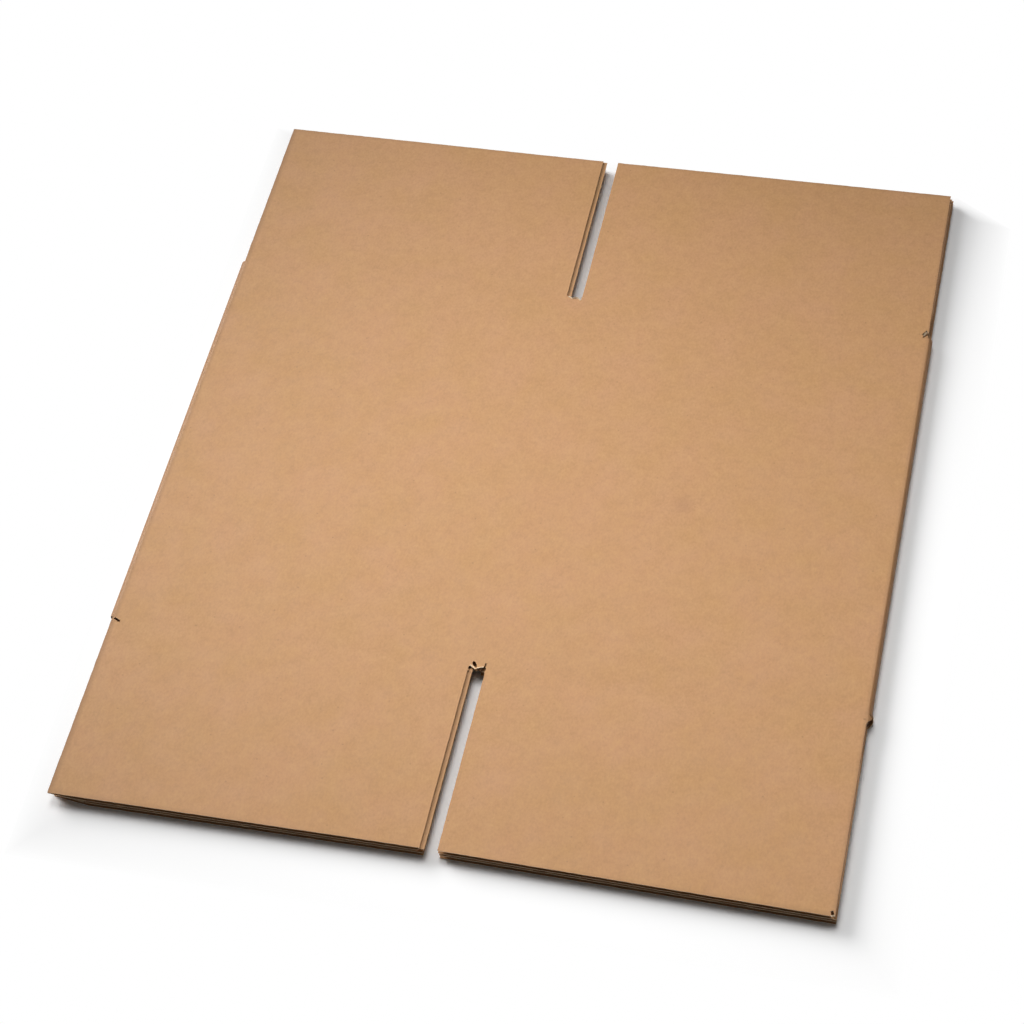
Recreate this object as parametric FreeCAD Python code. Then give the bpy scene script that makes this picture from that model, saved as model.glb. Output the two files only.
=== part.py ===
import FreeCAD, Part
import math
import os

# A slotted carton of single-wall corrugated board, folded flat as it is delivered.
# One blank is scored into four equal panels with a flap at each end of every panel.
# It is folded over at two scores and glued to itself with a narrow tab, so that it
# lies as a flat tube: an upper layer of two panels on a lower layer of two panels.
# X runs across the flutes from fold to fold, Y runs along the flutes, Z is up.
# The origin is at the middle of the underside. All sizes are in millimetres.

# Panels and flaps
PANEL_WIDTH = 207.0       # fold to middle score
PANEL_HEIGHT = 260.0      # between the two flap scores
FLAP_LENGTH = 111.3       # flap score to the flap's free end, beside the folds
FRONT_END_RAKE = 2.0      # the front flaps are this much shorter beside their slot
BACK_END_RAKE = 0.7       # the same at the back

# Corrugated board
BOARD = 3.0               # outside of one liner to outside of the other
LINER = 0.3               # each flat facing sheet
MEDIUM = 0.25             # the waved sheet between the liners
FLUTE_PITCH = 6.35        # crest to crest, nearest pitch that fills the width
CREST_WIDTH = 1.1         # flat of the wave where it is glued to a liner

# How the folded blank lies
LAYER_GAP = 1.0           # air between the upper and the lower layer
LAYER_OFFSET = 2.3        # the lower layer lies this far to the right of the upper
FLAP_SWAY = 0.4           # back flaps lie this far to the left, front flaps to the right
FOLD_HOLLOW = 1.3         # what is left open of the flute squeezed in each fold
FOLD_WEB = 0.8            # solid board between the last flute and the start of a fold

# Slots between the flaps
SLOT_WIDTH = 9.4
SLOT_CORNER = 1.2         # bevel at the inner corners of a slot
BACK_SLOT_X = -2.05       # middle of the back slot, halfway between the two layers
FRONT_SLOT_X = -0.45      # the same for the front slot
BACK_SLOT_REACH = -2.0    # slot end past its flap score, negative where it stops short
FRONT_SLOT_REACH = 2.0
FOLD_TAKE_UP = 3.4        # slot width used up where the blank bends round a fold
FOLD_END_RADIUS = 2.0     # rounded corner at each end of a fold, seen from above
KNIFE_CUT_LENGTH = 3.2    # short cut of the slotting knife into the root of a flap
KNIFE_CUT_WIDTH = 0.8

# Scores pressed into the outside of the board
SCORE_WIDTH = 7.0
SCORE_DEPTH = 0.15

# Glue tab, inside, between the layers
TAB_WIDTH = 35.0
TAB_THICKNESS = 0.8       # board crushed flat
TAB_END_CLEARANCE = 4.0   # each end of the tab to the flap score
TAB_TAPER = 9.0           # the tab's free edge is this much shorter at each end

# Worked out from the sizes above
WIDTH = 2 * PANEL_WIDTH
HALF_WIDTH = WIDTH / 2
SCORE_Y = PANEL_HEIGHT / 2
HALF_LENGTH = SCORE_Y + FLAP_LENGTH
THICKNESS = 2 * BOARD + LAYER_GAP
MIDDLE_Z = THICKNESS / 2
FOLD_RADIUS = THICKNESS / 2
FOLD_X = HALF_WIDTH - FOLD_RADIUS
FLUTE_SPACE = BOARD - 2 * LINER
FLAP_RECESS = (SLOT_WIDTH - FOLD_TAKE_UP) / 2
OVERSHOOT = 5.0           # how far cutting solids run past the board

UPPER = 1
LOWER = -1
BACK = 1
FRONT = -1


def face_from(edges):
    """Closed flat face from edges that follow each other."""
    return Part.Face(Part.Wire(Part.__sortEdges__(edges)))


def polygon(points):
    """Closed flat wire through the given points."""
    return Part.makePolygon(points + [points[0]])


def line(start, end):
    return Part.LineSegment(start, end).toShape()


def arc(start, middle, end):
    return Part.Arc(start, middle, end).toShape()


def flute_layout():
    """Pitch that fills the width, place of the outermost inner cell, and cell count."""
    flank_run = FLUTE_PITCH / 2 - CREST_WIDTH
    slope = flank_run / (FLUTE_SPACE - MEDIUM)
    base_gap = CREST_WIDTH / 2 + MEDIUM * (math.sqrt(1 + slope * slope) - slope)
    room = 2 * (FOLD_X - FOLD_WEB + base_gap)
    count = max(2, round(room / FLUTE_PITCH))
    pitch = room / count
    return pitch, (count - 1) * pitch / 2, count, base_gap


def cell_profile(centre, pitch, base_gap, base_z, out):
    """Section of the hollow between a liner and the wave, wide at the liner.

    base_z is the liner's inner face and out is +1 where the hollow rises from it.
    """
    half_base = pitch / 2 - base_gap
    half_crest = CREST_WIDTH / 2
    top = base_z + out * (FLUTE_SPACE - MEDIUM)
    outline = [
        (-half_base, base_z),
        (half_base, base_z),
        (half_crest, top),
        (-half_crest, top),
    ]
    return [FreeCAD.Vector(centre + x, -HALF_LENGTH, z) for x, z in outline]


def board_cells(layer):
    """Sections of all flutes of one layer, the outer row between the inner row."""
    pitch, last, count, base_gap = flute_layout()
    inner_face = MIDDLE_Z + layer * (LAYER_GAP / 2 + LINER)
    outer_face = MIDDLE_Z + layer * (THICKNESS / 2 - LINER)
    cells = []
    for index in range(count):
        centre = -last + index * pitch
        cells.append(cell_profile(centre, pitch, base_gap, inner_face, layer))
        if index < count - 1:
            cells.append(cell_profile(centre + pitch / 2, pitch, base_gap, outer_face, -layer))
    return cells


def fluted_sheet():
    """Both layers as one block with every flute open from the front to the back."""
    corners = [
        FreeCAD.Vector(x, -HALF_LENGTH, z)
        for x, z in (
            (-HALF_WIDTH, 0),
            (HALF_WIDTH, 0),
            (HALF_WIDTH, THICKNESS),
            (-HALF_WIDTH, THICKNESS),
        )
    ]
    block = Part.Face(polygon(corners))
    flutes = [Part.Face(polygon(cell)) for layer in (UPPER, LOWER) for cell in board_cells(layer)]
    section = Part.Face([block.OuterWire] + [flute.OuterWire for flute in flutes])
    section.validate()
    return section.extrude(FreeCAD.Vector(0, 2 * HALF_LENGTH, 0))


def fold_profile_point(side, distance, height):
    """Point of a section at one fold, distance out from where the fold begins."""
    return FreeCAD.Vector(side * (FOLD_X + distance), -SCORE_Y, MIDDLE_Z + height)


def fold_rounding(side):
    """What lies outside the round fold, along the panels only."""
    def at(distance, height):
        return fold_profile_point(side, distance, height)

    outside = FOLD_RADIUS + OVERSHOOT
    edges = [
        arc(at(0, FOLD_RADIUS), at(FOLD_RADIUS, 0), at(0, -FOLD_RADIUS)),
        line(at(0, -FOLD_RADIUS), at(0, -outside)),
        line(at(0, -outside), at(outside, -outside)),
        line(at(outside, -outside), at(outside, outside)),
        line(at(outside, outside), at(0, outside)),
        line(at(0, outside), at(0, FOLD_RADIUS)),
    ]
    return face_from(edges).extrude(FreeCAD.Vector(0, PANEL_HEIGHT, 0))


def last_flank():
    """Outer side of the last flute: its foot at the outer liner, then at the inner one."""
    pitch, last, _, base_gap = flute_layout()
    foot = last + base_gap
    head = last + pitch / 2 - CREST_WIDTH / 2
    return foot - FOLD_X, head - FOLD_X


def fold_flute(side):
    """The squeezed flute that follows the bend from the upper to the lower layer."""
    def at(distance, height):
        return fold_profile_point(side, distance, height)

    foot, head = last_flank()
    outer = FOLD_RADIUS - LINER
    inner = outer - FOLD_HOLLOW
    wave = LAYER_GAP / 2 + LINER + MEDIUM
    edges = [
        line(at(foot, outer), at(0, outer)),
        arc(at(0, outer), at(outer, 0), at(0, -outer)),
        line(at(0, -outer), at(foot, -outer)),
        line(at(foot, -outer), at(head, -wave)),
        line(at(head, -wave), at(0, -inner)),
        arc(at(0, -inner), at(inner, 0), at(0, inner)),
        line(at(0, inner), at(head, wave)),
        line(at(head, wave), at(foot, outer)),
    ]
    return face_from(edges).extrude(FreeCAD.Vector(0, PANEL_HEIGHT, 0))


def edge_flute(side, end, layer):
    """The flute that the slotting knife laid open along the outer edge of a flap."""
    foot, head = last_flank()
    outer = MIDDLE_Z + layer * (THICKNESS / 2 - LINER)
    wave = MIDDLE_Z + layer * (LAYER_GAP / 2 + LINER + MEDIUM)
    far = HALF_WIDTH + OVERSHOOT
    start_y = SCORE_Y if end == BACK else -HALF_LENGTH - OVERSHOOT
    outline = [
        (side * (FOLD_X + foot), outer),
        (side * far, outer),
        (side * far, wave),
        (side * (FOLD_X + head), wave),
    ]
    face = Part.Face(polygon([FreeCAD.Vector(x, start_y, z) for x, z in outline]))
    return face.extrude(FreeCAD.Vector(0, FLAP_LENGTH + OVERSHOOT, 0))


def layer_prism(face, layer):
    """A plan shape drawn out through one layer and the air gap beside it."""
    bottom = BOARD if layer == UPPER else -OVERSHOOT
    height = BOARD + LAYER_GAP + OVERSHOOT
    face.translate(FreeCAD.Vector(0, 0, bottom))
    return face.extrude(FreeCAD.Vector(0, 0, height))


def centre_slot(end, layer):
    """Slot between the two middle flaps of one layer, square ended with bevelled corners."""
    slot_x = BACK_SLOT_X if end == BACK else FRONT_SLOT_X
    reach = BACK_SLOT_REACH if end == BACK else FRONT_SLOT_REACH
    middle = slot_x - layer * LAYER_OFFSET / 2
    inner = SCORE_Y - reach
    far = HALF_LENGTH + OVERSHOOT
    half = SLOT_WIDTH / 2
    outline = [
        (-half, far),
        (-half, inner + SLOT_CORNER),
        (-half + SLOT_CORNER, inner),
        (half - SLOT_CORNER, inner),
        (half, inner + SLOT_CORNER),
        (half, far),
    ]
    points = [FreeCAD.Vector(middle + x, end * y, 0) for x, y in outline]
    return layer_prism(Part.Face(polygon(points)), layer)


def flap_edge_x(side, end, layer):
    """Distance of a flap's outer edge from the middle of the box, on one side."""
    drift = -layer * LAYER_OFFSET / 2 - end * FLAP_SWAY
    return HALF_WIDTH - FLAP_RECESS + side * drift


def fold_slot(side, end, layer):
    """Half slot that sets the flap back from the fold, with the fold's rounded end."""
    edge = flap_edge_x(side, end, layer)
    far_x = HALF_WIDTH + OVERSHOOT
    far_y = HALF_LENGTH + OVERSHOOT
    radius = FOLD_END_RADIUS
    ease = radius * (1 - math.sqrt(0.5))

    def at(x, y):
        return FreeCAD.Vector(side * x, end * y, 0)

    path = [
        (edge, far_y),
        (edge, SCORE_Y + KNIFE_CUT_WIDTH),
        (edge - KNIFE_CUT_LENGTH, SCORE_Y + KNIFE_CUT_WIDTH),
        (edge - KNIFE_CUT_LENGTH, SCORE_Y),
        (HALF_WIDTH - radius, SCORE_Y),
    ]
    edges = [line(at(*path[i]), at(*path[i + 1])) for i in range(len(path) - 1)]
    edges += [
        arc(
            at(HALF_WIDTH - radius, SCORE_Y),
            at(HALF_WIDTH - ease, SCORE_Y - ease),
            at(HALF_WIDTH, SCORE_Y - radius),
        ),
        line(at(HALF_WIDTH, SCORE_Y - radius), at(far_x, SCORE_Y - radius)),
        line(at(far_x, SCORE_Y - radius), at(far_x, far_y)),
        line(at(far_x, far_y), at(edge, far_y)),
    ]
    return layer_prism(face_from(edges), layer)


def end_trim(end):
    """Everything past the free ends of the flaps, which run back towards the slot."""
    rake = BACK_END_RAKE if end == BACK else FRONT_END_RAKE
    slot_x = BACK_SLOT_X if end == BACK else FRONT_SLOT_X
    far_x = HALF_WIDTH + OVERSHOOT
    far_y = HALF_LENGTH + OVERSHOOT
    slope_end = HALF_LENGTH + rake * OVERSHOOT / HALF_WIDTH
    outline = [
        (-far_x, slope_end),
        (slot_x, HALF_LENGTH - rake),
        (far_x, slope_end),
        (far_x, far_y),
        (-far_x, far_y),
    ]
    points = [FreeCAD.Vector(x, end * y, -OVERSHOOT) for x, y in outline]
    return Part.Face(polygon(points)).extrude(FreeCAD.Vector(0, 0, THICKNESS + 2 * OVERSHOOT))


def glue_tab():
    """Crushed tab on the right lower panel, glued to the inside of the left one."""
    root = seam_right()
    tip = root - TAB_WIDTH
    half = SCORE_Y - TAB_END_CLEARANCE
    outline = [
        (root + OVERSHOOT, -half),
        (root + OVERSHOOT, half),
        (root, half),
        (tip, half - TAB_TAPER),
        (tip, -half + TAB_TAPER),
        (root, -half),
    ]
    points = [FreeCAD.Vector(x, y, BOARD) for x, y in outline]
    return Part.Face(polygon(points)).extrude(FreeCAD.Vector(0, 0, TAB_THICKNESS))


def layer_gap():
    """Air between the layers, closed and round at both folds, less the glue tab."""
    radius = LAYER_GAP / 2

    def at(x, height):
        return FreeCAD.Vector(x, -HALF_LENGTH - OVERSHOOT, MIDDLE_Z + height)

    edges = [
        line(at(-FOLD_X, radius), at(FOLD_X, radius)),
        arc(at(FOLD_X, radius), at(FOLD_X + radius, 0), at(FOLD_X, -radius)),
        line(at(FOLD_X, -radius), at(-FOLD_X, -radius)),
        arc(at(-FOLD_X, -radius), at(-FOLD_X - radius, 0), at(-FOLD_X, radius)),
    ]
    air = face_from(edges).extrude(FreeCAD.Vector(0, 2 * (HALF_LENGTH + OVERSHOOT), 0))
    return air.cut(glue_tab())


def seam_right():
    """Bend of the glue tab: the middle of the lower layer's slots."""
    return (BACK_SLOT_X + FRONT_SLOT_X) / 2 + LAYER_OFFSET / 2


def glued_seam():
    """Open seam underneath, from the free edge of one panel to the tab of the other."""
    width = SLOT_WIDTH / 2
    reach = SCORE_Y - min(BACK_SLOT_REACH, FRONT_SLOT_REACH)
    corner = FreeCAD.Vector(seam_right() - width, -reach, -OVERSHOOT)
    return Part.makeBox(width, 2 * reach, OVERSHOOT + BOARD, corner)


def score(start, direction, length, up):
    """Shallow round-bottomed groove pressed into an outer face along a straight line."""
    half = SCORE_WIDTH / 2
    radius = (half * half + SCORE_DEPTH * SCORE_DEPTH) / (2 * SCORE_DEPTH)
    centre = start + FreeCAD.Vector(0, 0, up * (radius - SCORE_DEPTH))
    return Part.makeCylinder(radius, length, centre, direction)


def score_lines():
    """Flap scores above and below, and the middle score between the upper panels."""
    across = FreeCAD.Vector(1, 0, 0)
    along = FreeCAD.Vector(0, 1, 0)
    grooves = []
    for y in (-SCORE_Y, SCORE_Y):
        for z, up in ((THICKNESS, 1), (0, -1)):
            start = FreeCAD.Vector(-FOLD_X, y, z)
            grooves.append(score(start, across, 2 * FOLD_X, up))
    middle = FreeCAD.Vector(0, -SCORE_Y, THICKNESS)
    grooves.append(score(middle, along, PANEL_HEIGHT, 1))
    return grooves


def folded_blank():
    """The whole carton as it lies flat, one piece of board."""
    cutters = [layer_gap(), glued_seam()]
    cutters += score_lines()
    for side in (-1, 1):
        cutters += [fold_rounding(side), fold_flute(side)]
    for end in (BACK, FRONT):
        cutters.append(end_trim(end))
        for layer in (UPPER, LOWER):
            cutters.append(centre_slot(end, layer))
            for side in (-1, 1):
                cutters += [fold_slot(side, end, layer), edge_flute(side, end, layer)]
    return fluted_sheet().cut(cutters)


def main():
    os.makedirs("parts", exist_ok=True)
    blank = folded_blank()
    print("solids", len(blank.Solids), "valid", blank.isValid(), "volume", round(blank.Volume))
    print("box", blank.BoundBox)
    blank.Solids[0].exportStep("parts/folded_blank.step")


main()
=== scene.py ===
import logging
import math
from dataclasses import dataclass, field
from enum import Enum
from typing import Any, Callable, Iterable, Sequence

import bmesh
import bpy
from mathutils import Matrix, Vector, noise


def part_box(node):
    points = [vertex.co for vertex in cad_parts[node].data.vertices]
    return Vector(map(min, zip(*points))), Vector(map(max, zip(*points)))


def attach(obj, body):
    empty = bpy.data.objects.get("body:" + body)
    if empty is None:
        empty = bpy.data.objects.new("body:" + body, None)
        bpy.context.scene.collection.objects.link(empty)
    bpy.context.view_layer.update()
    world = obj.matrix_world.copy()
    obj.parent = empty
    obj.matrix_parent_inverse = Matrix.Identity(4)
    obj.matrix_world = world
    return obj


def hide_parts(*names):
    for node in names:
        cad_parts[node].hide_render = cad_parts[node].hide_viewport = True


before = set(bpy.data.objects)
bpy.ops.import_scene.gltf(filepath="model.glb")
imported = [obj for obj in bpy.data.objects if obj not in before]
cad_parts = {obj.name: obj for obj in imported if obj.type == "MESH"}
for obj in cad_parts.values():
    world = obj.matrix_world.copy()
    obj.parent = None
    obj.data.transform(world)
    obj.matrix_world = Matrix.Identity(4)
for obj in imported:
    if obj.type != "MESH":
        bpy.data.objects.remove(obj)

# A corrugated carton that is glued and folded flat, lying on a white surface.
# The board is built as it is made: a flat blank of three plies (outer liner, fluted medium
# and inner liner), with its slots cut out, which is then folded over into a flat tube.
# Flat blanks are in millimetres: X is the place along the girth, Y the place along the
# flutes and Z the depth below the outer face. A finished mesh is in metres, in the frame.
# The upper layer is the half of the girth that is nearest to 0. The seam, where both ends
# of the blank meet, lies in the lower layer.

LOG = logging.getLogger("carton")
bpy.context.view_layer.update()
NODE = "folded_blank"
BODY = "root"
PALE_EDGE_LAYER = "cut_edge_and_highlight"
MM = 0.001
TINY = 1e-5
NOISE_SEED = 5

Point = tuple[float, float]
Colour = tuple[float, float, float, float]
Links = dict[str | int, Any]


def linear(hex_colour: str) -> Colour:
    """Turns an sRGB colour into the linear one that shaders use.

    Args:
        hex_colour: six hex digits after a hash sign.

    Returns:
        Red, green, blue and an alpha of 1.
    """
    channels = [int(hex_colour[start:start + 2], 16) / 255 for start in (1, 3, 5)]
    toe = 0.04045
    straight = [c / 12.92 if c <= toe else ((c + 0.055) / 1.055) ** 2.4 for c in channels]
    return (*straight, 1.0)


def add_object(name: str, data: bpy.types.ID) -> bpy.types.Object:
    """Adds an object to the scene.

    Args:
        name: its name.
        data: its mesh, lamp or camera.

    Returns:
        The object.
    """
    added = bpy.data.objects.new(name, data)
    bpy.context.scene.collection.objects.link(added)
    return added


def add_node(tree: bpy.types.NodeTree, kind: str, settings: dict[str, Any] | None = None,
             inputs: Links | None = None) -> bpy.types.Node:
    """Adds a node with its settings and links.

    Args:
        tree: the node tree that gets the node.
        kind: the node's type name without the word ShaderNode.
        settings: attributes of the node and their values.
        inputs: sockets by name or number, each with a value or with the socket it is linked to.

    Returns:
        The new node.
    """
    node = tree.nodes.new("ShaderNode" + kind)
    for name, value in (settings or {}).items():
        setattr(node, name, value)
    for name, value in (inputs or {}).items():
        if isinstance(value, bpy.types.NodeSocket):
            tree.links.new(value, node.inputs[name])
        else:
            node.inputs[name].default_value = value
    return node


def new_tree(owner: bpy.types.Material | bpy.types.World) -> bpy.types.NodeTree:
    """Gives a material or world an empty node tree.

    Args:
        owner: the material or world.

    Returns:
        The node tree.
    """
    owner.use_nodes = True
    owner.node_tree.nodes.clear()
    return owner.node_tree


def object_coordinates(tree: bpy.types.NodeTree, wavelength: Sequence[float],
                       centre: Sequence[float] = (0, 0, 0)) -> bpy.types.NodeSocket:
    """Object coordinates, counted in wavelengths of a pattern.

    Args:
        tree: the node tree.
        wavelength: size of the pattern along X, Y and Z in millimetres.
        centre: where the pattern has its origin, in millimetres.

    Returns:
        The socket that holds the coordinates.
    """
    place = add_node(tree, "TexCoord").outputs["Object"]
    scale = [1 / (w * MM) for w in wavelength]
    shift = [-c * MM * s for c, s in zip(centre, scale)]
    return add_node(tree, "Mapping", inputs={"Vector": place, "Location": shift, "Scale": scale}).outputs[0]


def blended(tree: bpy.types.NodeTree, share: Any, below: Any, above: Any) -> bpy.types.NodeSocket:
    """Mixes two colours.

    Args:
        tree: the node tree.
        share: how much of the second colour shows, as a number or a socket.
        below: first colour or its socket.
        above: second colour or its socket.

    Returns:
        The mixed colour's socket.
    """
    mix = add_node(tree, "Mix", {"data_type": "RGBA"}, {"Factor": share, 6: below, 7: above})
    return mix.outputs[2]


def spread_out(tree: bpy.types.NodeTree, value: bpy.types.NodeSocket, low: float, high: float,
               to_low: float = 0.0, to_high: float = 1.0) -> bpy.types.NodeSocket:
    """Maps a stretch of a pattern's range to another, and holds it at both ends.

    Args:
        tree: the node tree.
        value: the pattern.
        low: value that becomes to_low.
        high: value that becomes to_high.
        to_low: result at the low end.
        to_high: result at the high end.

    Returns:
        The mapped value's socket.
    """
    ramp = add_node(tree, "MapRange", {"clamp": True},
                    {"Value": value, "From Min": low, "From Max": high, "To Min": to_low, "To Max": to_high})
    return ramp.outputs[0]


@dataclass(frozen=True)
class DarkPatch:
    """A darker patch on the liner, in millimetres; one is a scuff, the other painted shade."""

    place: Point
    size: Point
    strength: float


@dataclass(frozen=True)
class KraftLiner:
    """Unbleached kraft linerboard, machine finished: matt brown paper with long fibres.

    The eye sees an even tan with soft cloudy mottling, short pale and dark fibres that run
    with the paper machine, a few specks, and hardly any gloss.
    """

    name: str = "kraft_linerboard"
    base: str = "#BA8B59"
    pale: str = "#C89A67"
    deep: str = "#A87B4E"
    rosy: str = "#BD8C60"
    # Colour of specks, and of the painted shade on the folds and beside the fold's cracks
    speck_and_shade: str = "#7E5838"
    raw_edge_and_highlight: str = "#E8D2B2"
    cloud_mm: float = 26.0
    mottle_mm: float = 5.0
    fibre_mm: Point = (1.1, 1.6)
    speck_mm: float = 9.0
    flute_mm: float = 6.355
    wave_turn: float = 20.0  # radians that the wave texture turns in one unit
    roughness: float = 0.55
    ior: float = 1.38
    top_mm: float = 7.0
    dark_patches: tuple[DarkPatch, ...] = (
        # A faint scuff
        DarkPatch((86.5, -8.0), (8.0, 9.0), 0.22),
        # Painted shade beside the cracks at the right fold's front end
        DarkPatch((202.4, -127.7), (1.0, 0.6), 0.9),
    )
    # Painted shade on both folds and a darker band at the flaps' ends: axis, distances from the middle at
    # which the darkening starts and is full, and its share there
    fold_shade_and_end_band: tuple[tuple[int, float, float, float], ...] = (
        (0, 201.5, 207.0, 0.9),
        (1, 238.5, 241.5, 0.25),
    )

    def build(self) -> bpy.types.Material:
        """Makes the material.

        Returns:
            The material.
        """
        material = bpy.data.materials.new(self.name)
        tree = new_tree(material)
        colour = self.paper_colour(tree)
        # Pale raw paper at the cut edges and on the curled strips, partly a painted highlight
        edge = add_node(tree, "Attribute", {"attribute_name": PALE_EDGE_LAYER}).outputs["Fac"]
        colour = blended(tree, edge, colour, linear(self.raw_edge_and_highlight))
        shader = add_node(tree, "BsdfPrincipled", inputs={
            "Base Color": colour,
            "Roughness": self.paper_roughness(tree),
            "IOR": self.ior,
            "Normal": self.paper_relief(tree),
        })
        add_node(tree, "OutputMaterial", inputs={"Surface": shader.outputs[0]})
        return material

    def paper_colour(self, tree: bpy.types.NodeTree) -> bpy.types.NodeSocket:
        """Mottled tan with fibres, specks and darker patches, one of them painted shade, and painted shade
        on the folds.

        Args:
            tree: the material's node tree.

        Returns:
            The colour's socket.
        """
        clouds = add_node(tree, "TexNoise", inputs={
            "Vector": object_coordinates(tree, (self.cloud_mm,) * 3), "Scale": 1.0, "Detail": 2.0})
        mottle = add_node(tree, "TexNoise", inputs={
            "Vector": object_coordinates(tree, (self.mottle_mm,) * 3), "Scale": 1.0, "Detail": 4.0,
            "Roughness": 0.62})
        fibres = add_node(tree, "TexNoise", inputs={
            "Vector": object_coordinates(tree, (*self.fibre_mm, self.fibre_mm[0])), "Scale": 1.0,
            "Detail": 2.0})
        colour = blended(tree, spread_out(tree, clouds.outputs[0], 0.3, 0.7, 0.0, 1.0),
                         linear(self.base), linear(self.rosy))
        light = add_node(tree, "Math", {"operation": "ADD"}, {
            0: spread_out(tree, mottle.outputs[0], 0.2, 0.8, 0.0, 0.5),
            1: spread_out(tree, fibres.outputs[0], 0.2, 0.8, 0.0, 0.5)})
        colour = blended(tree, spread_out(tree, light.outputs[0], 0.5, 0.0, 0.0, 0.8),
                         colour, linear(self.deep))
        colour = blended(tree, spread_out(tree, light.outputs[0], 0.5, 1.0, 0.0, 0.8),
                         colour, linear(self.pale))
        specks = add_node(tree, "TexVoronoi", {"feature": "F1"}, {
            "Vector": object_coordinates(tree, (self.speck_mm,) * 3), "Scale": 1.0})
        speck_share = spread_out(tree, specks.outputs["Distance"], 0.03, 0.07, 0.35, 0.0)
        colour = blended(tree, speck_share, colour, linear(self.speck_and_shade))
        # A scuff, and painted shade beside the right fold's cracks
        for dark_patch in self.dark_patches:
            place = object_coordinates(tree, (*dark_patch.size, dark_patch.size[0]), (*dark_patch.place, self.top_mm))
            ball = add_node(tree, "TexGradient", {"gradient_type": "SPHERICAL"}, {"Vector": place})
            share = spread_out(tree, ball.outputs["Fac"], 0.0, 1.0, 0.0, dark_patch.strength)
            colour = blended(tree, share, colour, linear(self.speck_and_shade))
        # Painted shade on the folds, and a darker band at the flaps' ends
        return blended(tree, self.shaded_folds_and_ends(tree), colour, linear(self.speck_and_shade))

    def shaded_folds_and_ends(self, tree: bpy.types.NodeTree) -> bpy.types.NodeSocket:
        """How much painted shade darkens the folds, and how much darker the ends of the flaps are.

        Args:
            tree: the material's node tree.

        Returns:
            The socket of a share from 0 to 1.
        """
        place = add_node(tree, "SeparateXYZ", inputs={0: object_coordinates(tree, (1.0,) * 3)})
        shares = []
        for axis, start, stop, most in self.fold_shade_and_end_band:
            distance = add_node(tree, "Math", {"operation": "ABSOLUTE"}, {0: place.outputs[axis]})
            shares.append(spread_out(tree, distance.outputs[0], start, stop, 0.0, most))
        return add_node(tree, "Math", {"operation": "MAXIMUM"}, dict(enumerate(shares))).outputs[0]

    def paper_roughness(self, tree: bpy.types.NodeTree) -> bpy.types.NodeSocket:
        """Slightly uneven roughness.

        Args:
            tree: the material's node tree.

        Returns:
            The roughness's socket.
        """
        patches = add_node(tree, "TexNoise", inputs={
            "Vector": object_coordinates(tree, (self.mottle_mm * 2,) * 3), "Scale": 1.0, "Detail": 3.0})
        return spread_out(tree, patches.outputs[0], 0.3, 0.7, self.roughness - 0.04, self.roughness + 0.04)

    def paper_relief(self, tree: bpy.types.NodeTree) -> bpy.types.NodeSocket:
        """Fibre relief and the faint washboard that flutes press through.

        Args:
            tree: the material's node tree.

        Returns:
            The normal's socket.
        """
        fibres = add_node(tree, "TexNoise", inputs={
            "Vector": object_coordinates(tree, (*self.fibre_mm, self.fibre_mm[0])), "Scale": 1.0,
            "Detail": 3.0})
        relief = add_node(tree, "Bump", inputs={
            "Strength": 0.25, "Distance": 0.03 * MM, "Height": fibres.outputs[0]})
        unit_wave = self.flute_mm * self.wave_turn / (2 * math.pi)
        flutes = add_node(tree, "TexWave", {"bands_direction": "X", "wave_profile": "SIN"}, {
            "Vector": object_coordinates(tree, (unit_wave,) * 3), "Scale": 1.0})
        washboard = add_node(tree, "Bump", inputs={
            "Strength": 0.15, "Distance": 0.02 * MM, "Height": flutes.outputs["Fac"],
            "Normal": relief.outputs[0]})
        return washboard.outputs[0]


@dataclass(frozen=True)
class FlutingMedium:
    """Semichemical fluting paper, corrugated: rougher and greyer than the liner, never glossy. Its colours
    are darkened further as painted shade in the flute cavities.
    """

    name: str = "fluting_paper"
    # Darker than the paper itself: painted shade for the flute cavities
    base: str = "#8A6342"
    deep: str = "#5F4229"
    fibre_mm: Point = (0.8, 2.4)
    roughness: float = 0.85

    def build(self) -> bpy.types.Material:
        """Makes the material.

        Returns:
            The material.
        """
        material = bpy.data.materials.new(self.name)
        tree = new_tree(material)
        fibres = add_node(tree, "TexNoise", inputs={
            "Vector": object_coordinates(tree, (*self.fibre_mm, self.fibre_mm[0])), "Scale": 1.0,
            "Detail": 4.0, "Roughness": 0.6})
        colour = blended(tree, spread_out(tree, fibres.outputs[0], 0.35, 0.7),
                         linear(self.base), linear(self.deep))
        relief = add_node(tree, "Bump", inputs={
            "Strength": 0.4, "Distance": 0.05 * MM, "Height": fibres.outputs[0]})
        shader = add_node(tree, "BsdfPrincipled", inputs={
            "Base Color": colour, "Roughness": self.roughness, "Normal": relief.outputs[0]})
        add_node(tree, "OutputMaterial", inputs={"Surface": shader.outputs[0]})
        return material


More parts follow.
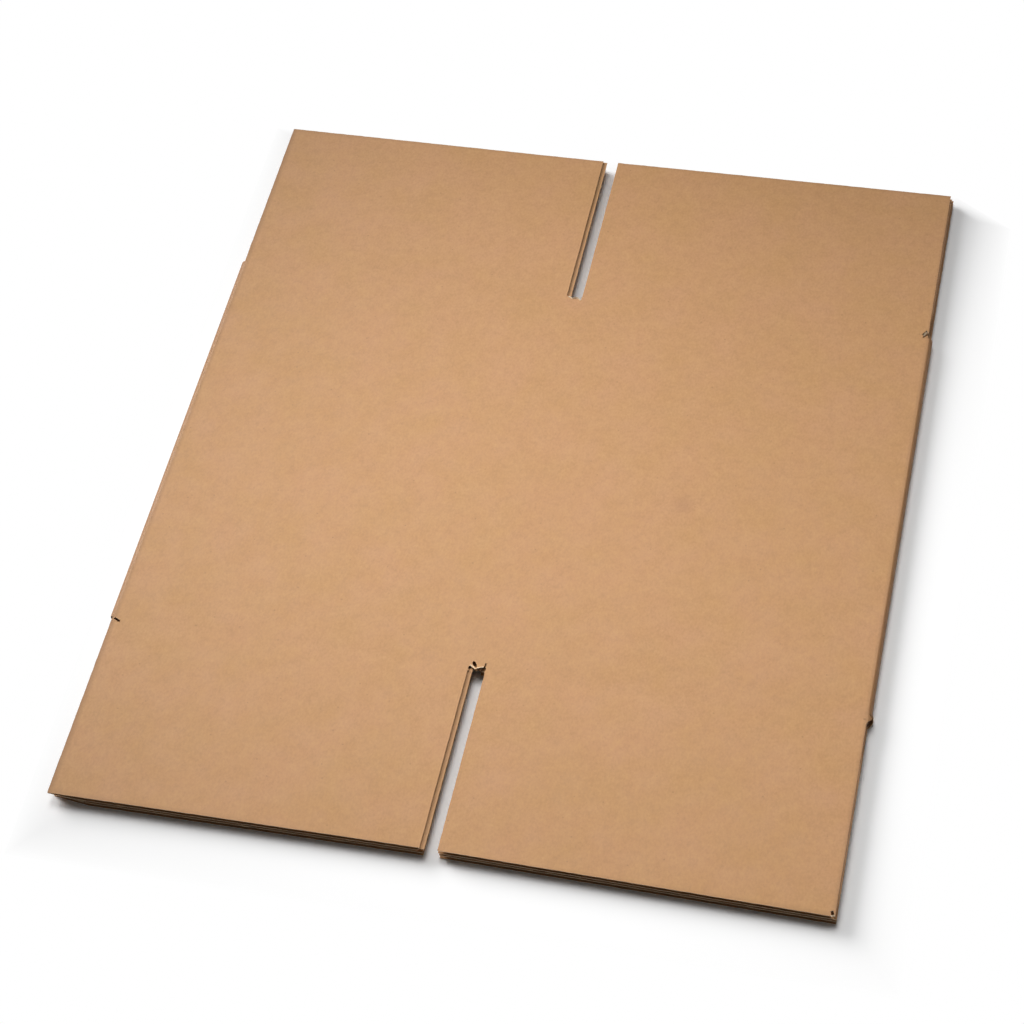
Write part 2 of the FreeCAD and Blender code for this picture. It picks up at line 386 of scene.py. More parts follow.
@dataclass(frozen=True)
class StudioFloor:
    """Seamless white paper: keeps the object's soft shadow and is plain white further out.

    The shadow falls to the right and to the front. How far it is kept is given for the left,
    right, front and back side, each as the distances at which the plain white starts and is full.
    At the back that limit runs off at a slope, from the object's right side on. The camera sees
    the paper a little overexposed, as the photograph does.
    """

    name: str = "white_backdrop_paper"
    white: str = "#FFFFFF"
    overexposure: float = 1.1
    shade_mm: tuple[Point, Point, Point, Point] = ((-9.0, 12.0), (12.0, 34.0), (12.0, 36.0), (-4.0, 6.0))
    shade_slope: float = 0.62

    def build(self, half_size: Point) -> bpy.types.Material:
        """Makes the material.

        Args:
            half_size: half of the object's width and length in millimetres.

        Returns:
            The material.
        """
        material = bpy.data.materials.new(self.name)
        tree = new_tree(material)
        place = add_node(tree, "SeparateXYZ", inputs={0: object_coordinates(tree, (1.0,) * 3)})
        to_right = add_node(tree, "Math", {"operation": "SUBTRACT"}, {0: place.outputs[0], 1: half_size[0]})
        beside = add_node(tree, "Math", {"operation": "MAXIMUM"}, {0: to_right.outputs[0], 1: 0.0})
        slanted = add_node(tree, "Math", {"operation": "MULTIPLY_ADD"}, {
            0: beside.outputs[0], 1: self.shade_slope, 2: place.outputs[1]})
        far = 0.0
        for index, (start, stop) in enumerate(self.shade_mm):
            axis, sign = divmod(index, 2)
            measured = slanted.outputs[0] if (axis, sign) == (1, 1) else place.outputs[axis]
            outwards = add_node(tree, "Math", {"operation": "MULTIPLY"}, {0: measured, 1: 2.0 * sign - 1})
            past = spread_out(tree, outwards.outputs[0], half_size[axis] + start, half_size[axis] + stop)
            far = add_node(tree, "Math", {"operation": "MAXIMUM"}, {0: far, 1: past}).outputs[0]
        seen = add_node(tree, "LightPath").outputs["Is Camera Ray"]
        share = add_node(tree, "Math", {"operation": "MULTIPLY"}, {0: far, 1: seen})
        white = linear(self.white)
        bright = tuple(channel * self.overexposure for channel in white)
        paper = add_node(tree, "BsdfDiffuse", inputs={"Color": blended(tree, seen, white, bright)})
        glow = add_node(tree, "Emission", inputs={"Color": white, "Strength": 1.0})
        mix = add_node(tree, "MixShader", inputs={
            0: share.outputs[0], 1: paper.outputs[0], 2: glow.outputs[0]})
        add_node(tree, "OutputMaterial", inputs={"Surface": mix.outputs[0]})
        return material


class Layer(Enum):
    """The two layers of the folded tube."""

    UPPER = 1
    LOWER = -1


class Zone(Enum):
    """Where a point of the blank lies once it is folded."""

    UPPER = "upper layer"
    FOLD = "fold"
    LOWER = "lower layer"


class End(Enum):
    """The two ends of the flutes, seen from the camera."""

    BACK = 1
    FRONT = -1


class Paper(Enum):
    """The board's papers, each with its place among the board's materials."""

    LINER = 0
    FLUTING = 1


@dataclass(frozen=True)
class FlapEdges:
    """Where the side edges of the two flaps at one end of one layer lie, from left to right."""

    outer_left: float
    slot_left: float
    slot_right: float
    outer_right: float


FLAP_EDGES: dict[tuple[End, Layer], FlapEdges] = {
    (End.FRONT, Layer.UPPER): FlapEdges(-204.75, -6.0, 3.35, 203.75),
    (End.FRONT, Layer.LOWER): FlapEdges(-203.15, -4.6, 3.90, 204.45),
    (End.BACK, Layer.UPPER): FlapEdges(-204.70, -7.4, 1.75, 202.90),
    (End.BACK, Layer.LOWER): FlapEdges(-203.95, -6.6, 2.80, 204.65),
}


@dataclass(frozen=True)
class CartonSizes:
    """Sizes of the folded blank in millimetres, with the wear and the finer cuts of the real one."""

    half_width: float
    half_length: float
    thickness: float
    score_y: float = 130.0  # flap scores, from the middle
    layer_gap: float = 1.0
    seam_left: float = -4.8
    seam_right: float = -0.1
    front_rake: float = 2.0
    back_rake: float = 0.7
    slot_corner: float = 1.0
    back_slot_end: float = 130.4
    front_slot_end: float = 130.2
    torn_slot_end: float = 131.6  # the same in the two plies that are torn at the front slot
    crush: float = 0.75  # share of the thickness lost at the front left corner
    crush_run: float = 8.0
    corner_draw_in: float = 3.0  # how far the lower layer is pushed back at that corner
    knife_cut_length: float = 3.2
    knife_cut_width: float = 0.8
    front_step: float = 0.5  # how far the front flaps reach past the back ones
    lower_step: float = 0.4  # how far the lower of them reach past the upper
    fold_notches: Point = (0.8, 6.5)  # depth of the notch in the front end of the left and right fold
    fold_flatness: float = 0.65  # how far the right fold stands out, as a share of its radius
    fold_flare: float = 0.55  # what its front end adds to that
    flare_run: float = 3.0
    ledges: Point = (2.4, 0.9)  # how far the inner liner sticks out at slots and at right edges
    ledge_rise: float = 1.7  # how far it is pressed up there
    ledge_ramp: Point = (1.4, 0.4)  # where the rise starts and is full, before the cut edge
    tab_width: float = 35.0
    tab_thickness: float = 0.8
    tab_clearance: float = 4.0
    tab_taper: float = 9.0

    @classmethod
    def from_frame(cls) -> "CartonSizes":
        """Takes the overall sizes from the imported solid."""
        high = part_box(NODE)[1]
        return cls(high.x / MM, high.y / MM, high.z / MM)

    @property
    def board(self) -> float:
        """Thickness of the corrugated board."""
        return (self.thickness - self.layer_gap) / 2

    @property
    def fold_radius(self) -> float:
        """Outer radius of both folds."""
        return self.thickness / 2

    @property
    def fold_x(self) -> float:
        """Distance of each fold's start from the middle."""
        return self.half_width - self.fold_radius

    def slot_end(self, end: End) -> float:
        """Inner end of a middle slot, as a distance from the middle of the box."""
        return self.back_slot_end if end is End.BACK else self.front_slot_end

    def flap_edge(self, side: int, end: End, layer: Layer) -> float:
        """Place of a flap's outer edge across the flutes."""
        edges = FLAP_EDGES[end, layer]
        return edges.outer_right if side > 0 else edges.outer_left

    def fold_bulge(self, side: float, y: float) -> float:
        """How far a fold stands out sideways: the right one is pressed flatter, up to its front end.

        Args:
            side: positive for the right fold, negative for the left one.
            y: place along the fold.

        Returns:
            A share of the fold's radius.
        """
        if side < 0:
            return 1.0
        from_end = (y + self.score_y) / self.flare_run - 1
        return self.fold_flatness + self.fold_flare * math.exp(-from_end * from_end)

    def end_y(self, x: float, end: End) -> float:
        """Distance of the flaps' free end from the middle, which runs in towards the slot.

        Args:
            x: place across the flutes.
            end: which end of the flutes.

        Returns:
            The distance.
        """
        rake = self.back_rake if end is End.BACK else self.front_rake
        edges = FLAP_EDGES[end, Layer.UPPER]
        slot_x = (edges.slot_left + edges.slot_right) / 2
        share = abs(x - slot_x) / (self.half_width - slot_x * math.copysign(1, x))
        return self.half_length - rake * max(0.0, 1 - share)


@dataclass(frozen=True)
class FoldPath:
    """The way that the flat blank takes round both folds."""

    sizes: CartonSizes

    @property
    def arc(self) -> float:
        """Length of the outer face round one fold."""
        return math.pi * self.sizes.fold_radius

    def girth(self, x: float, layer: Layer, side: int) -> float:
        """Place along the girth of a point of the folded tube.

        Args:
            x: the point's place across the flutes.
            layer: the layer that it is in.
            side: 1 for the half right of the middle, -1 for the left one.

        Returns:
            The girth, which is 0 in the middle of the upper layer.
        """
        if layer is Layer.UPPER:
            return x
        return side * (2 * self.sizes.fold_x + self.arc) - x

    def in_flap(self, y: float) -> bool:
        """True where a point lies past the short knife cuts at the flap scores."""
        return abs(y) > self.sizes.score_y + self.sizes.knife_cut_width / 2

    def zone(self, girth: float, y: float) -> Zone:
        """Which layer a point of the blank is in; flaps aren't bent, so they have no fold.

        Args:
            girth: place along the girth.
            y: place along the flutes.

        Returns:
            The zone.
        """
        past = abs(girth) - self.sizes.fold_x
        middle = self.arc / 2
        if past <= (middle if self.in_flap(y) else 0.0):
            return Zone.UPPER
        if past >= (middle if self.in_flap(y) else self.arc):
            return Zone.LOWER
        return Zone.FOLD

    def place(self, girth: float, y: float, depth: float) -> Point:
        """Where a point of the blank lies once it is folded.

        Args:
            girth: place along the girth.
            y: place along the flutes.
            depth: depth below the outer face.

        Returns:
            X and Z of the folded point.
        """
        sizes = self.sizes
        side = math.copysign(1.0, girth)
        past = abs(girth) - sizes.fold_x
        zone = self.zone(girth, y)
        if zone is Zone.UPPER:
            return girth, sizes.thickness - depth
        if zone is Zone.LOWER:
            return side * (sizes.fold_x - (past - self.arc)), depth
        turn = past / sizes.fold_radius
        reach = sizes.fold_radius - depth
        x = side * (sizes.fold_x + reach * math.sin(turn) * sizes.fold_bulge(side, y))
        return x, sizes.thickness / 2 + reach * math.cos(turn)


@dataclass(frozen=True)
class CutOut:
    """A convex outline that is cut right through the flat blank, corners anticlockwise."""

    corners: tuple[Point, ...]

    def grown(self, amount: float) -> "CutOut":
        """The same outline with every corner moved outwards.

        Args:
            amount: how far each side moves.

        Returns:
            The larger outline.
        """
        middle_x = sum(x for x, _ in self.corners) / len(self.corners)
        middle_y = sum(y for _, y in self.corners) / len(self.corners)
        moved = tuple(
            (x + math.copysign(amount, x - middle_x), y + math.copysign(amount, y - middle_y))
            for x, y in self.corners
        )
        return CutOut(moved)

    def sides(self) -> list[tuple[Vector, Vector]]:
        """Works out the outline's sides.

        Returns:
            A point and the outward direction of each side.
        """
        found = []
        for index, (x, y) in enumerate(self.corners):
            next_x, next_y = self.corners[(index + 1) % len(self.corners)]
            found.append((Vector((x, y, 0)), Vector((next_y - y, x - next_x, 0)).normalized()))
        return found

    def near(self, mesh: bmesh.types.BMesh) -> list[bmesh.types.BMFace]:
        """Finds the faces whose box touches the outline's box.

        Args:
            mesh: the flat sheet.

        Returns:
            The faces.
        """
        low_x = min(x for x, _ in self.corners) - TINY
        high_x = max(x for x, _ in self.corners) + TINY
        low_y = min(y for _, y in self.corners) - TINY
        high_y = max(y for _, y in self.corners) + TINY
        found = []
        for face in mesh.faces:
            xs = [v.co.x for v in face.verts]
            if max(xs) < low_x or min(xs) > high_x:
                continue
            ys = [v.co.y for v in face.verts]
            if max(ys) >= low_y and min(ys) <= high_y:
                found.append(face)
        return found

    def cut(self, mesh: bmesh.types.BMesh) -> None:
        """Cuts the outline out of a flat sheet.

        Args:
            mesh: the flat sheet.
        """
        sides = self.sides()
        for corner, outward in sides:
            faces = self.near(mesh)
            # Keys of a dict keep their order, so that every run cuts in the same order
            edges = dict.fromkeys(edge for face in faces for edge in face.edges)
            verts = dict.fromkeys(vert for face in faces for vert in face.verts)
            bmesh.ops.bisect_plane(mesh, geom=[*verts, *edges, *faces], dist=TINY,
                                   plane_co=corner, plane_no=outward)
        inside = []
        for face in self.near(mesh):
            middle = face.calc_center_median()
            middle.z = 0
            if all((middle - corner).dot(outward) < 0 for corner, outward in sides):
                inside.append(face)
        bmesh.ops.delete(mesh, geom=inside, context="FACES")


def rectangle(low_x: float, high_x: float, low_y: float, high_y: float) -> CutOut:
    """An upright rectangle as an outline."""
    return CutOut(((low_x, low_y), (high_x, low_y), (high_x, high_y), (low_x, high_y)))


def thicken(mesh: bmesh.types.BMesh, paper: float) -> None:
    """Gives a sheet its thickness straight through Z and marks its rim faces for the pale colour of raw
    paper, partly a painted highlight.

    Args:
        mesh: the open sheet.
        paper: how thick it becomes.
    """
    grown = bmesh.ops.extrude_face_region(mesh, geom=mesh.faces[:], use_keep_orig=True)["geom"]
    raised = [item for item in grown if isinstance(item, bmesh.types.BMVert)]
    bmesh.ops.translate(mesh, vec=(0, 0, paper), verts=raised)
    mesh.normal_update()
    # The sheet is still flat here, so its cut edge is what stands upright
    # Rim faces take the pale colour of raw paper, partly a painted highlight
    rim = mesh.faces.layers.float.new(PALE_EDGE_LAYER)
    for face in mesh.faces:
        face[rim] = 1.0 if abs(face.normal.z) < 0.05 else 0.0


def in_metres(mesh: bmesh.types.BMesh) -> bmesh.types.BMesh:
    """Turns a finished mesh from millimetres to metres, with its faces outwards.

    Args:
        mesh: the closed mesh.

    Returns:
        The same mesh.
    """
    bmesh.ops.scale(mesh, vec=(MM, MM, MM), verts=mesh.verts)
    bmesh.ops.recalc_face_normals(mesh, faces=mesh.faces)
    return mesh


def slit(start: Point, stop: Point, width: float) -> CutOut:
    """A straight slit as an outline.

    Args:
        start: one end.
        stop: the other end.
        width: how wide it gapes.

    Returns:
        The outline.
    """
    first, last = Vector(start), Vector(stop)
    half = (last - first).orthogonal().normalized() * width / 2
    return CutOut(tuple(tuple(point) for point in (first - half, last - half, last + half, first + half)))


@dataclass(frozen=True)
class CuttingPlan:
    """All that the slotter takes out of the flat blank."""

    sizes: CartonSizes
    path: FoldPath
    overrun: float = 8.0
    overlap: float = 0.5  # how far a notch reaches back into its slot

    @property
    def far(self) -> float:
        """How far cuts at the flaps' free ends run out."""
        return self.sizes.half_length + self.overrun

    @property
    def blank_ends(self) -> Point:
        """Where the blank ends on both sides of the seam underneath.

        Returns:
            Girth of its left and right end.
        """
        left_x = FLAP_EDGES[End.FRONT, Layer.LOWER].slot_left
        left = self.path.girth(max(self.sizes.seam_left, left_x), Layer.LOWER, -1)
        right = self.path.girth(self.sizes.seam_right, Layer.LOWER, 1)
        return left, right

    def centre_slot(self, end: End, torn: bool) -> CutOut:
        """Slot between the two upper flaps at one end, with bevelled inner corners.

        Args:
            end: which end of the flutes.
            torn: true for the paper that the knife tore, false for the liner below it, which
                sticks out to the right a little.

        Returns:
            The outline.
        """
        edges = FLAP_EDGES[end, Layer.UPPER]
        left, right = edges.slot_left + (0.0 if torn else self.sizes.ledges[0]), edges.slot_right
        inner = self.sizes.torn_slot_end if torn and end is End.FRONT else self.sizes.slot_end(end)
        bevel = self.sizes.slot_corner
        outline = [(left, self.far), (left, inner + bevel), (left + bevel, inner),
                   (right - bevel, inner), (right, inner + bevel), (right, self.far)]
        corners = [(x, end.value * y) for x, y in outline]
        return CutOut(tuple(corners if end is End.BACK else reversed(corners)))

    def seam_slots(self, end: End) -> list[CutOut]:
        """Parts of the lower layer's slot, at one or both ends of the blank.

        Args:
            end: which end of the flutes.

        Returns:
            The outlines.
        """
        edges = FLAP_EDGES[end, Layer.LOWER]
        inner, outer = sorted((end.value * self.sizes.slot_end(end), end.value * self.far))
        left = self.path.girth(edges.slot_left, Layer.LOWER, -1)
        right = self.path.girth(edges.slot_right, Layer.LOWER, 1)
        reach = 2 * self.path.girth(0, Layer.LOWER, 1)
        found = [rectangle(right, reach, inner, outer)]
        if left > self.blank_ends[0] + TINY:
            found.append(rectangle(-reach, left, inner, outer))
        return found

    def fold_slot(self, side: int, end: End, torn: bool) -> CutOut:
        """Slot between the flaps at one fold, from the upper to the lower flap's edge.

        Args:
            side: 1 for the right fold, -1 for the left one.
            end: which end of the flutes.
            torn: false for the inner liner, which sticks out at the right.

        Returns:
            The outline.
        """
        ledge = self.sizes.ledges[1] if side > 0 and not torn else 0.0
        upper = self.sizes.flap_edge(side, end, Layer.UPPER) + ledge
        lower = self.path.girth(self.sizes.flap_edge(side, end, Layer.LOWER), Layer.LOWER, side)
        low_x, high_x = sorted((upper, lower))
        low_y, high_y = sorted((end.value * self.sizes.score_y, end.value * self.far))
        return rectangle(low_x, high_x, low_y, high_y)

    def knife_cut(self, side: int, end: End) -> CutOut:
        """Short cut of the slotting knife into the root of a lower flap.

        Args:
            side: 1 for the right fold, -1 for the left one.
            end: which end of the flutes.

        Returns:
            The outline.
        """
        edge = self.sizes.flap_edge(side, end, Layer.LOWER)
        ends = [self.path.girth(x, Layer.LOWER, side)
                for x in (edge - side * self.sizes.knife_cut_length, edge)]
        low_x, high_x = sorted(ends)
        reach = self.sizes.score_y + self.sizes.knife_cut_width
        low_y, high_y = sorted((end.value * self.sizes.score_y, end.value * reach))
        return rectangle(low_x - TINY, high_x + TINY, low_y, high_y)

    def fold_notch(self, side: int) -> CutOut:
        """Notch that runs from a front slot into the end of a fold.

        Args:
            side: 1 for the right fold, -1 for the left one.

        Returns:
            The outline.
        """
        start = side * self.sizes.fold_x
        stop = side * (self.sizes.fold_x + self.path.arc)
        low, high = sorted((start, stop))
        root = -self.sizes.score_y - self.overlap
        depth = self.sizes.fold_notches[int(side > 0)]
        return CutOut(((low, root), (high, root), ((low + high) / 2, -self.sizes.score_y + depth)))

    def tears(self) -> dict[str, CutOut]:
        """Torn and slit places in the top face, which go through the outer liner and the medium.

        Returns:
            The outlines by name.
        """
        return {
            "left half of the front slot's end": CutOut((
                (-6.0, -131.7), (-2.0, -131.7), (-5.3, -129.2), (-6.0, -129.8))),
            "right half of the front slot's end": CutOut((
                (-2.0, -131.7), (3.35, -131.7), (3.35, -129.5), (1.9, -129.3))),
            "oval hole": CutOut((
                (-4.5, -126.7), (-4.5, -127.7), (-4.1, -128.6), (-3.0, -129.5), (-2.1, -130.2),
                (-1.6, -129.2), (-2.1, -127.9), (-3.3, -126.5), (-4.2, -126.3))),
            "slit beside the front slot": slit((2.4, -129.8), (2.8, -126.5), 0.8),
            "left nick of the back slot": CutOut(((-5.2, 130.6), (-3.7, 129.5), (-2.3, 130.6))),
            "right nick of the back slot": CutOut((
                (-0.7, 130.6), (0.2, 129.7), (1.3, 128.8), (1.75, 130.6))),
            "left front knife cut": slit((-203.4, -131.2), (-199.9, -133.0), 1.4),
            "right back knife cut": slit((199.7, 131.9), (201.8, 135.4), 0.9),
            "second right back knife cut": slit((200.2, 130.0), (203.3, 133.5), 0.9),
            "upper fold crack": slit((204.9, -124.2), (206.8, -125.4), 1.0),
            "middle fold crack": slit((206.8, -125.0), (206.4, -127.5), 1.0),
            "lower fold crack": slit((206.6, -127.1), (204.4, -129.4), 1.0),
            "hole at the front right corner": slit((201.7, -238.4), (202.9, -241.2), 1.5),
        }

    def seam_edge(self) -> CutOut:
        """Strip that sets the left lower panel's edge back from its front flap's.

        Returns:
            The outline.
        """
        left = self.path.girth(self.sizes.seam_left, Layer.LOWER, -1)
        low_x, high_x = sorted((left, self.blank_ends[0] - self.overrun))
        return rectangle(low_x, high_x, -self.sizes.slot_end(End.FRONT), self.sizes.slot_end(End.BACK))

    def cut_outs(self, torn: bool) -> list[CutOut]:
        """Every cut-out of one sheet of the blank.

        Args:
            torn: true for the two plies that are torn at the slots.

        Returns:
            The outlines.
        """
        found = [self.seam_edge()]
        for end in End:
            found.append(self.centre_slot(end, torn))
            found += self.seam_slots(end)
            for side in (-1, 1):
                found += [self.fold_slot(side, end, torn), self.knife_cut(side, end)]
        return found + [self.fold_notch(side) for side in (-1, 1)]


@dataclass
class Ply:
    """One sheet of paper of the board, made flat and then folded."""

    name: str
    sizes: CartonSizes
    path: FoldPath
    plan: CuttingPlan
    paper: float
    step: float
    rows: tuple[float, ...]
    setback: float
    depth: Callable[[float, float, Zone], float]
    kind: Paper = Paper.LINER
    edge_spacing: float = 0.0
    edge_wander: float = 0.12
    edge_waves: tuple[Point, ...] = ((0.35, 1.0), (1.7, 0.5))  # waves per millimetre, share of wander
    fold_steps: int = 12
    torn: bool = False
    columns: tuple[float, ...] = ()

    def flat_sheet(self) -> bmesh.types.BMesh:
        """Makes the sheet as a flat grid with its slots cut out.

        Returns:
            Its mesh.
        """
        left, right = self.plan.blank_ends
        reach = self.sizes.half_length - self.setback
        columns = math.ceil((right - left) / self.step) + 2
        first = math.floor(left / self.step) * self.step
        mesh = bmesh.new()
        bmesh.ops.create_grid(mesh, x_segments=columns, y_segments=1, size=0.5)
        bmesh.ops.scale(mesh, vec=(columns * self.step, 2 * reach, 1), verts=mesh.verts)
        bmesh.ops.translate(mesh, vec=(first + columns * self.step / 2, 0, 0), verts=mesh.verts)
        self.divide(mesh, Vector((left + self.setback, 0, 0)), Vector((-1, 0, 0)), trim=True)
        self.divide(mesh, Vector((right - self.setback, 0, 0)), Vector((1, 0, 0)), trim=True)
        for index in range(self.fold_steps + 1):
            for side in (-1, 1):
                girth = side * (self.sizes.fold_x + self.path.arc * index / self.fold_steps)
                self.divide(mesh, Vector((girth, 0, 0)), Vector((1, 0, 0)))
        for cut_out in self.plan.cut_outs(self.torn):
            (cut_out.grown(self.setback) if self.setback else cut_out).cut(mesh)
        if self.torn:
            for tear in self.plan.tears().values():
                tear.cut(mesh)
        for column in self.columns:
            self.divide(mesh, Vector((column, 0, 0)), Vector((1, 0, 0)))
        for row in self.rows:
            for y in (-row, row):
                self.divide(mesh, Vector((0, y, 0)), Vector((0, 1, 0)))
        return mesh

    @staticmethod
    def divide(mesh: bmesh.types.BMesh, place: Vector, across: Vector, trim: bool = False) -> None:
        """Cuts a line across the whole sheet.

        Args:
            mesh: the flat sheet.
            place: a point on the line.
            across: the line's normal.
            trim: true to take away what lies beyond the line.
        """
        bmesh.ops.bisect_plane(mesh, geom=[*mesh.verts, *mesh.edges, *mesh.faces], dist=TINY,
                               plane_co=place, plane_no=across, clear_outer=trim)

    def roughen_edges(self, mesh: bmesh.types.BMesh) -> None:
        """Divides the cut edges and lets them wander a little, as a rotary cut does.

        Args:
            mesh: the flat sheet.
        """
        if not self.edge_spacing:
            return
        for edge in [e for e in mesh.edges if e.is_boundary]:
            cuts = int(edge.calc_length() / self.edge_spacing)
            if cuts:
                bmesh.ops.subdivide_edges(mesh, edges=[edge], cuts=cuts)
        for vert in mesh.verts:
            if vert.is_boundary:
                wander = Vector((0, 0, 0))
                for waves, share in self.edge_waves:
                    wander += noise.noise_vector(vert.co * waves) * self.edge_wander * share
                vert.co += Vector((wander.x, wander.y, 0))

    def build(self) -> bmesh.types.BMesh:
        """Makes the folded sheet with its thickness.

        Returns:
            Its mesh, in metres.
        """
        mesh = self.flat_sheet()
        self.roughen_edges(mesh)
        for vert in mesh.verts:
            girth, y, _ = vert.co
            x, _ = self.path.place(girth, y, 0.0)
            vert.co.z = self.depth(x, y, self.path.zone(girth, y))
        thicken(mesh, self.paper)
        for vert in mesh.verts:
            self.fold(vert)
        return in_metres(mesh)

    def fold(self, vert: bmesh.types.BMVert) -> None:
        """Moves a point of the flat sheet to its place in the folded tube.

        Args:
            vert: the point, with its depth below the outer face as Z.
        """
        girth, y, depth = vert.co
        x, _ = self.path.place(girth, y, 0.0)
        from_corner = math.hypot(x + self.sizes.half_width, y + self.sizes.half_length)
        crushed = self.sizes.crush * math.exp(-0.5 * (from_corner / self.sizes.crush_run) ** 2)
        x, z = self.path.place(girth, y, depth * (1 - crushed))
        if self.path.in_flap(y):
            end = End.BACK if y > 0 else End.FRONT
            flap = self.sizes.half_length - self.sizes.score_y
            reach = self.sizes.end_y(x, end)
            if end is End.FRONT:
                reach += self.sizes.front_step
                if self.path.zone(girth, y) is Zone.LOWER:
                    from_edge = (x + self.sizes.half_width) / (3 * self.sizes.crush_run)
                    reach += self.sizes.lower_step - self.sizes.corner_draw_in * max(0.0, 1 - from_edge)
            share = (reach - self.sizes.score_y) / flap
            y = math.copysign(self.sizes.score_y + (abs(y) - self.sizes.score_y) * share, y)
        vert.co = (x, y, z)


@dataclass(frozen=True)
class CurledStrip:
    """A narrow strip of torn liner that stands up along a cut in the top face, in millimetres."""

    name: str
    line: tuple[Point, ...]
    width: float
    rise: float
    paper: float = 0.2

    def build(self, top: float) -> bmesh.types.BMesh:
        """Makes the strip.

        Args:
            top: height of the top face.

        Returns:
            Its mesh, in metres.
        """
        last = len(self.line) - 1
        points = [Vector(point) for point in self.line]
        mesh = bmesh.new()
        bmesh.ops.create_grid(mesh, x_segments=last, y_segments=4, size=0.5)
        for vert in mesh.verts:
            index = round((vert.co.x + 0.5) * last)
            share = vert.co.y + 0.5
            # It stands up along its outer side, most in the middle
            onward = points[min(index + 1, last)] - points[max(index - 1, 0)]
            place = points[index] + onward.orthogonal().normalized() * (share - 0.5) * self.width
            lifted = self.rise * share * share * math.sin(math.pi * (0.15 + 0.7 * index / last))
            vert.co = (*place, top + lifted)
        thicken(mesh, self.paper)
        # The whole strip takes the pale colour of raw paper, partly a painted highlight
        rim = mesh.faces.layers.float[PALE_EDGE_LAYER]
        for face in mesh.faces:
            face[rim] = 1.0
        return in_metres(mesh)


